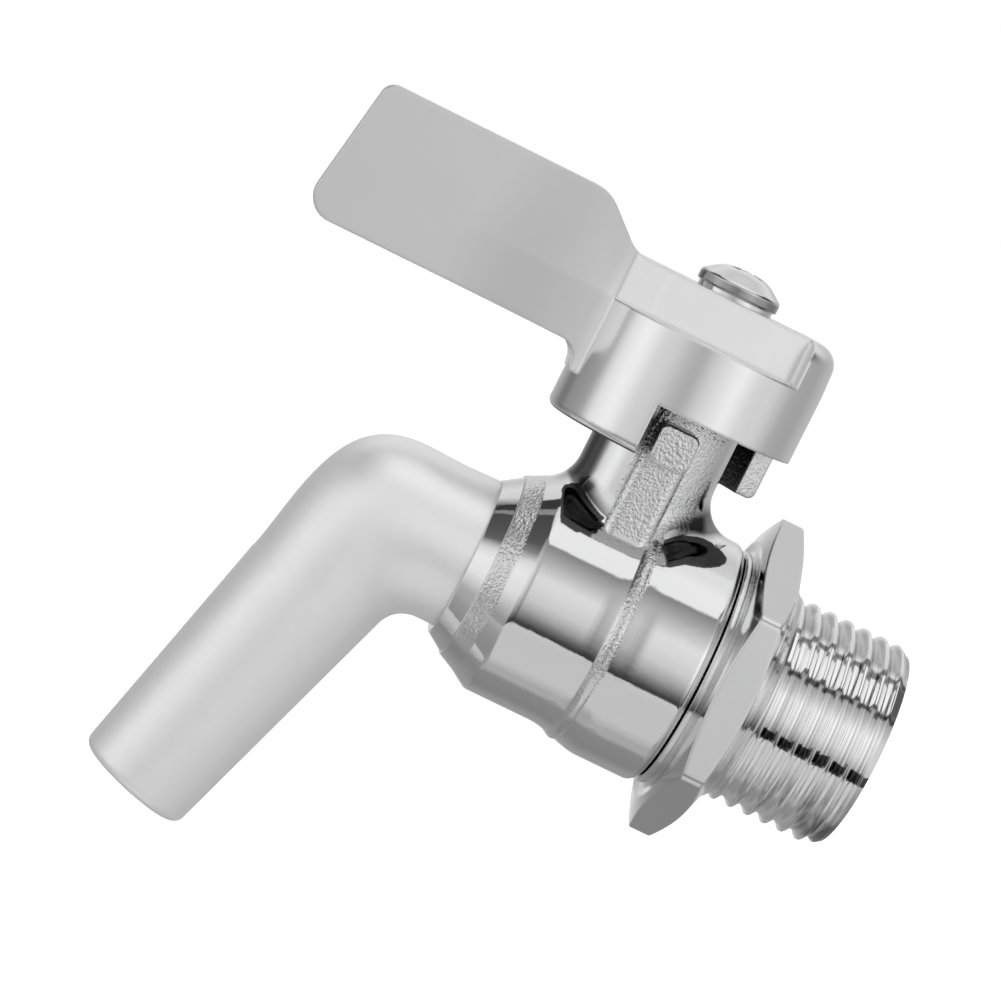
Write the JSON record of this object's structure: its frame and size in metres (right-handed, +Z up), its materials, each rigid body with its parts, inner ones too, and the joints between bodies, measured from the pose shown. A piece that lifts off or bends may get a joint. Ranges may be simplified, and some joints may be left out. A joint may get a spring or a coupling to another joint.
{
  "type": "beverage dispenser spigot",
  "caption": "Quarter-turn ball valve spigot with a bent tapered spout, a lever handle with a round cup, a hexagon and a male pipe thread.",
  "frame": {"origin": "on the inlet thread's axis, where the thread starts at the foot of the hexagon", "axes": "+X along the inlet thread toward its free end, +Z up along the stem toward the handle, lever over the spout (-X) when open"},
  "size_m": [0.0702, 0.0286, 0.0716],
  "materials": {
    "polished_steel": "polished",
    "cast_lever_steel": "satin",
    "satin_steel": "matte",
    "ground_steel": "satin",
    "screw_steel": "polished",
    "white_ptfe": "matte",
    "black_rubber": "matte"
  },
  "bodies": {
    "valve": {"valve_body": "polished_steel", "end_connector": "polished_steel", "connector_gasket": "white_ptfe", "inlet_seat": "white_ptfe", "outlet_seat": "white_ptfe", "spout": "satin_steel"},
    "lever": {"handle": "cast_lever_steel", "spring_washer": "screw_steel", "handle_screw": "screw_steel", "stem": "ground_steel", "ball": "ground_steel", "stem_thrust_washer": "white_ptfe", "stem_seal_ring_lower": "black_rubber", "stem_seal_ring_upper": "black_rubber"}
  },
  "joints": [
    {"name": "handle_turn", "type": "hinge", "parent": "valve", "child": "lever", "pos_m": [-0.0184, 0, 0], "axis": [0, 0, 1], "range_deg": [-90, 0]}
  ]
}
